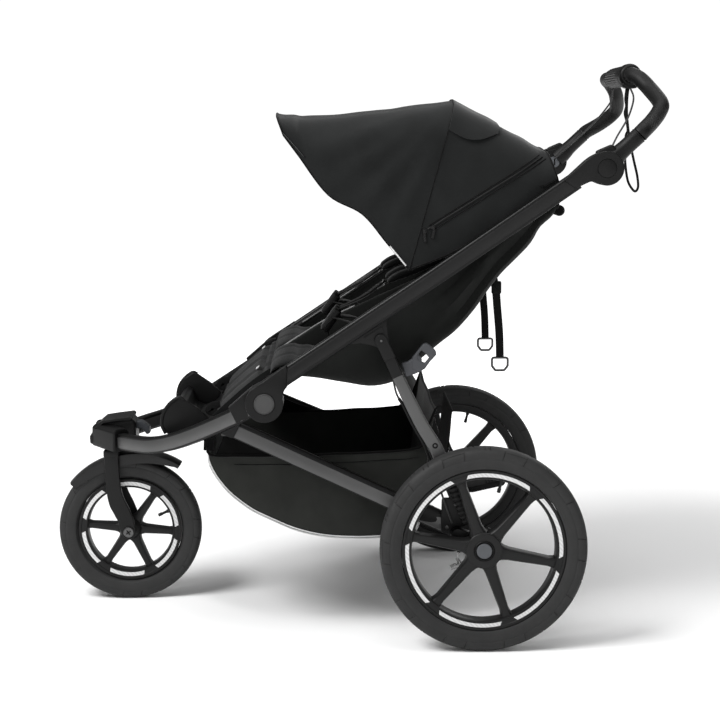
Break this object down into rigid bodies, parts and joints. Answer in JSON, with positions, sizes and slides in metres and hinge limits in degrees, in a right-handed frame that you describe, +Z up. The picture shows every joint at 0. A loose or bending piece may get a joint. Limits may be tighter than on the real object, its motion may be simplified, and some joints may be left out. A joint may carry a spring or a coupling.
{
  "type": "baby stroller",
  "caption": "Folding three-wheel jogging stroller for two children side by side, with canopies, reclining seats, cargo basket and hand brake.",
  "frame": {"origin": "on the ground, at the middle of the stroller's box", "axes": "+Z up, -Y forward along travel, +X towards the stroller's left side"},
  "size_m": [0.783, 1.2369, 1.128],
  "materials": {
    "tyre_rubber": "satin black rubber, moulded tread",
    "rim_metal": "satin dark grey",
    "frame_tube": "satin anodised black",
    "casting": "fine matte grain",
    "fender_plastic": "satin",
    "moulded_plastic": "matte",
    "button_plastic": "matte blue grey",
    "steel_part": "darkened",
    "soft_rubber": "matte",
    "grip_cover": "smooth stitched cover",
    "cable_sheath": "braided",
    "webbing": "woven webbing",
    "canopy_fabric": "fine plain weave",
    "seat_fabric": "plain weave, padded",
    "basket_fabric": "coated plain weave"
  },
  "bodies": {
    "upper_frame": {"seat_rail_left": "frame_tube", "seat_rail_right": "frame_tube", "hub_left": "casting", "hub_right": "casting", "handle_joint_left": "casting", "handle_joint_right": "casting", "leg_bracket_left": "casting", "leg_bracket_right": "casting", "seat_tub": "seat_fabric", "calf_rest": "seat_fabric", "canopy_hood_left": "canopy_fabric", "canopy_hood_right": "canopy_fabric", "harness_buckle_left": "moulded_plastic", "harness_buckle_right": "moulded_plastic", "recline_strap_left": "webbing", "recline_strap_right": "webbing"},
    "front_frame": {"front_arm_left": "frame_tube", "front_arm_right": "frame_tube", "front_housing": "casting", "footrest": "moulded_plastic"},
    "caster": {"front_fork": "frame_tube", "front_fender": "fender_plastic", "front_axle": "steel_part"},
    "front_wheel": {"front_tyre": "tyre_rubber", "front_rim": "rim_metal"},
    "swivel_lock": {"swivel_lock_lever": "button_plastic"},
    "rear_legs": {"rear_leg_left": "frame_tube", "rear_leg_right": "frame_tube", "knuckle_left": "casting", "knuckle_right": "casting", "rear_cross_tube": "frame_tube", "suspension_spring_left": "soft_rubber", "suspension_spring_right": "soft_rubber", "fold_catch": "button_plastic"},
    "lower_frame": {"lower_tube_left": "frame_tube", "lower_tube_right": "frame_tube", "basket": "basket_fabric"},
    "brake_pedal": {"parking_brake_pedal": "button_plastic"},
    "handlebar": {"handlebar_grip": "grip_cover", "handle_arm_left": "casting", "handle_arm_right": "casting", "twist_brake_housing": "casting", "brake_cable_left": "cable_sheath", "brake_cable_right": "cable_sheath", "wrist_strap": "webbing"},
    "twist_brake": {"twist_brake_ring": "soft_rubber"},
    "swing_left": {"swing_arm_left": "casting"},
    "rear_wheel_left": {"rear_tyre_left": "tyre_rubber", "rear_rim_left": "rim_metal"},
    "axle_button_left": {"release_button_left": "button_plastic"},
    "tilt_button_left": {"tilt_button_left": "button_plastic"},
    "backrest_left": {"backrest_left": "seat_fabric"},
    "canopy_left": {"canopy_visor_left": "canopy_fabric"},
    "swing_right": {"swing_arm_right": "casting"},
    "rear_wheel_right": {"rear_tyre_right": "tyre_rubber", "rear_rim_right": "rim_metal"},
    "axle_button_right": {"release_button_right": "button_plastic"},
    "tilt_button_right": {"tilt_button_right": "button_plastic"},
    "backrest_right": {"backrest_right": "seat_fabric"},
    "canopy_right": {"canopy_visor_right": "canopy_fabric"}
  },
  "joints": [
    {"name": "frame_fold", "type": "hinge", "parent": "upper_frame", "child": "front_frame", "pos_m": [0, -0.1625, 0.4832], "axis": [1, 0, 0], "range_deg": [0, 114], "deforming": ["calf_rest", "basket"]},
    {"name": "rear_leg_fold", "type": "hinge", "parent": "upper_frame", "child": "rear_legs", "pos_m": [0, 0.0594, 0.6023], "axis": [1, 0, 0], "range_deg": [0, 45.1]},
    {"name": "lower_tube_fold", "type": "hinge", "parent": "rear_legs", "child": "lower_frame", "pos_m": [0, 0.191, 0.233], "axis": [1, 0, 0], "range_deg": [-23.6, 0]},
    {"name": "caster_swivel", "type": "hinge", "parent": "front_frame", "child": "caster", "pos_m": [0, -0.503, 0.3], "axis": [0, 0, 1], "continuous": true},
    {"name": "front_wheel_spin", "type": "hinge", "parent": "caster", "child": "front_wheel", "pos_m": [0, -0.466, 0.152], "axis": [1, 0, 0], "continuous": true},
    {"name": "swivel_lock_turn", "type": "hinge", "parent": "front_frame", "child": "swivel_lock", "pos_m": [0, -0.44, 0.388], "axis": [1, 0, 0], "range_deg": [0, 14]},
    {"name": "parking_brake_press", "type": "hinge", "parent": "rear_legs", "child": "brake_pedal", "pos_m": [0.11, 0.25, 0.266], "axis": [1, 0, 0], "range_deg": [-18, 0]},
    {"name": "handlebar_tilt", "type": "hinge", "parent": "upper_frame", "child": "handlebar", "pos_m": [0, 0.4789, 0.9259], "axis": [1, 0, 0], "range_deg": [-60, 20]},
    {"name": "twist_brake_turn", "type": "hinge", "parent": "handlebar", "child": "twist_brake", "pos_m": [0.019, 0.564, 1.1055], "axis": [1, 0, 0], "range_deg": [0, 45]},
    {"name": "suspension_left", "type": "hinge", "parent": "rear_legs", "child": "swing_left", "pos_m": [0.33, 0.209, 0.219], "axis": [1, 0, 0], "range_deg": [0, 8], "stiffness_Nm_per_rad": 60, "springref_deg": -20.05, "deforming": ["suspension_spring_left"]},
    {"name": "rear_wheel_spin_left", "type": "hinge", "parent": "swing_left", "child": "rear_wheel_left", "pos_m": [0.367, 0.2565, 0.2], "axis": [1, 0, 0], "continuous": true},
    {"name": "axle_button_left_press", "type": "slide", "parent": "rear_wheel_left", "child": "axle_button_left", "axis": [-1, 0, 0], "range_m": [0, 0.003], "stiffness_N_per_m": 400, "springref_m": -0.002},
    {"name": "tilt_button_left_press", "type": "slide", "parent": "handlebar", "child": "tilt_button_left", "axis": [1, 0, 0], "range_m": [0, 0.003], "stiffness_N_per_m": 400, "springref_m": -0.002},
    {"name": "recline_left", "type": "hinge", "parent": "upper_frame", "child": "backrest_left", "pos_m": [0.149, 0.118, 0.589], "axis": [1, 0, 0], "range_deg": [0, 22]},
    {"name": "canopy_fold_left", "type": "hinge", "parent": "upper_frame", "child": "canopy_left", "pos_m": [0.33, 0.124, 0.734], "axis": [1, 0, 0], "range_deg": [-60, 0], "deforming": ["canopy_visor_left", "canopy_hood_left"]},
    {"name": "suspension_right", "type": "hinge", "parent": "rear_legs", "child": "swing_right", "pos_m": [-0.33, 0.209, 0.219], "axis": [1, 0, 0], "range_deg": [0, 8], "stiffness_Nm_per_rad": 60, "springref_deg": -20.05, "deforming": ["suspension_spring_right"]},
    {"name": "rear_wheel_spin_right", "type": "hinge", "parent": "swing_right", "child": "rear_wheel_right", "pos_m": [-0.367, 0.2565, 0.2], "axis": [1, 0, 0], "continuous": true},
    {"name": "axle_button_right_press", "type": "slide", "parent": "rear_wheel_right", "child": "axle_button_right", "axis": [1, 0, 0], "range_m": [0, 0.003], "stiffness_N_per_m": 400, "springref_m": -0.002},
    {"name": "tilt_button_right_press", "type": "slide", "parent": "handlebar", "child": "tilt_button_right", "axis": [-1, 0, 0], "range_m": [0, 0.003], "stiffness_N_per_m": 400, "springref_m": -0.002},
    {"name": "recline_right", "type": "hinge", "parent": "upper_frame", "child": "backrest_right", "pos_m": [-0.149, 0.118, 0.589], "axis": [1, 0, 0], "range_deg": [0, 22]},
    {"name": "canopy_fold_right", "type": "hinge", "parent": "upper_frame", "child": "canopy_right", "pos_m": [-0.33, 0.124, 0.734], "axis": [1, 0, 0], "range_deg": [-60, 0], "deforming": ["canopy_visor_right", "canopy_hood_right"]}
  ],
  "couplings": [
    {"joint": "rear_leg_fold", "follows": "frame_fold", "ratio": 0.3867},
    {"joint": "lower_tube_fold", "follows": "frame_fold", "ratio": -0.1985}
  ]
}
